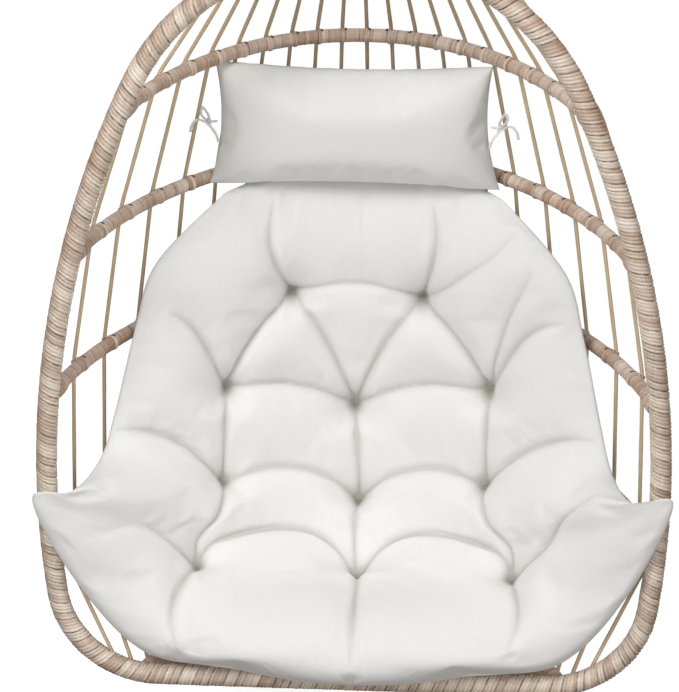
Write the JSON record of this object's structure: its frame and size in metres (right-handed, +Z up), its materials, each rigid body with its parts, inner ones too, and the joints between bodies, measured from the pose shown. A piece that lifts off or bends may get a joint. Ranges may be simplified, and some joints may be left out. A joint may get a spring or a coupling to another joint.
{
  "type": "hanging egg chair",
  "caption": "Hanging egg-shaped garden chair: wrapped steel basket strung with cords, tufted seat cushion, head pillow and a sprung swivel hanger.",
  "frame": {"origin": "centre of the bore of the hanger's top eye", "axes": "+X to the sitter's left, which is the viewer's right; -Y is the open front; +Z up; the top eye's bore runs along Y"},
  "size_m": [1.06, 0.6608, 1.7414],
  "materials": {
    "hanger_steel": "bright zinc-plated steel",
    "bearing_steel": "polished hardened steel",
    "spring_steel": "zinc-plated spring wire",
    "frame_steel": "powder-coated steel tube",
    "rattan_wrap": "flat woven strips of synthetic rattan",
    "rattan_cord": "round synthetic rattan cord",
    "rattan_mat": "woven synthetic rattan",
    "cushion_fabric": "off-white woven polyester cover",
    "tie_tape": "off-white cotton tape"
  },
  "bodies": {
    "hanger_top": {"top_eye": "hanger_steel", "lower_race": "bearing_steel", "bearing_balls": "bearing_steel"},
    "swivel": {"upper_race": "bearing_steel", "swivel_barrel": "hanger_steel", "clevis": "hanger_steel", "clevis_pin": "hanger_steel", "cotter_ring": "hanger_steel"},
    "spring_upper": {"upper_draw_yoke": "hanger_steel", "lower_plate": "hanger_steel", "coil_spring": "spring_steel"},
    "spring_lower": {"lower_draw_yoke": "hanger_steel", "upper_plate": "hanger_steel"},
    "hook": {"snap_hook": "hanger_steel", "gate_pin": "hanger_steel"},
    "gate": {"hook_gate": "hanger_steel"},
    "basket": {"hang_ring": "hanger_steel", "front_rim_tube": "frame_steel", "front_rim_wrap": "rattan_wrap", "hoop_tube_1": "frame_steel", "hoop_tube_2": "frame_steel", "hoop_tube_3": "frame_steel", "hoop_tube_4": "frame_steel", "hoop_tube_5": "frame_steel", "hoop_wrap_1": "rattan_wrap", "hoop_wrap_2": "rattan_wrap", "hoop_wrap_3": "rattan_wrap", "hoop_wrap_4": "rattan_wrap", "hoop_wrap_5": "rattan_wrap", "joint_wraps": "rattan_wrap", "crown_loop": "frame_steel", "crown_wrap": "rattan_wrap", "seat_ring_tube": "frame_steel", "seat_ring_wrap": "rattan_wrap", "cross_tubes": "frame_steel", "seat_mat": "rattan_mat", "cord_middle": "rattan_cord", "cord_pair_1": "rattan_cord", "cord_pair_2": "rattan_cord", "cord_pair_3": "rattan_cord", "cord_pair_4": "rattan_cord", "cord_pair_5": "rattan_cord", "cord_pair_6": "rattan_cord", "cord_pair_7": "rattan_cord", "cord_pair_8": "rattan_cord", "cord_pair_9": "rattan_cord", "cord_pair_10": "rattan_cord", "seat_cushion": "cushion_fabric", "head_pillow": "cushion_fabric", "pillow_tie_left": "tie_tape", "pillow_tie_right": "tie_tape"}
  },
  "joints": [
    {"name": "swivel_spin", "type": "hinge", "parent": "hanger_top", "child": "swivel", "pos_m": [0, 0, -0.04], "axis": [0, 0, 1], "continuous": true},
    {"name": "swing_fore_aft", "type": "hinge", "parent": "swivel", "child": "spring_upper", "pos_m": [0, 0, -0.07855], "axis": [1, 0, 0], "range_deg": [-20, 20]},
    {"name": "spring_bounce", "type": "slide", "parent": "spring_upper", "child": "spring_lower", "axis": [0, 0, -1], "range_m": [-0.004, 0.028], "stiffness_N_per_m": 30000, "springref_m": -0.01113, "deforming": ["coil_spring"]},
    {"name": "swing_sideways", "type": "hinge", "parent": "spring_lower", "child": "hook", "pos_m": [0, 0, -0.2879], "axis": [0, 1, 0], "range_deg": [-20, 20]},
    {"name": "ring_rock", "type": "hinge", "parent": "hook", "child": "basket", "pos_m": [0, 0, -0.3676], "axis": [1, 0, 0], "range_deg": [-8, 20]},
    {"name": "gate_open", "type": "hinge", "parent": "hook", "child": "gate", "pos_m": [0, -0.019, -0.3109], "axis": [1, 0, 0], "range_deg": [0, 30], "stiffness_Nm_per_rad": 0.05, "springref_deg": -11.46}
  ]
}
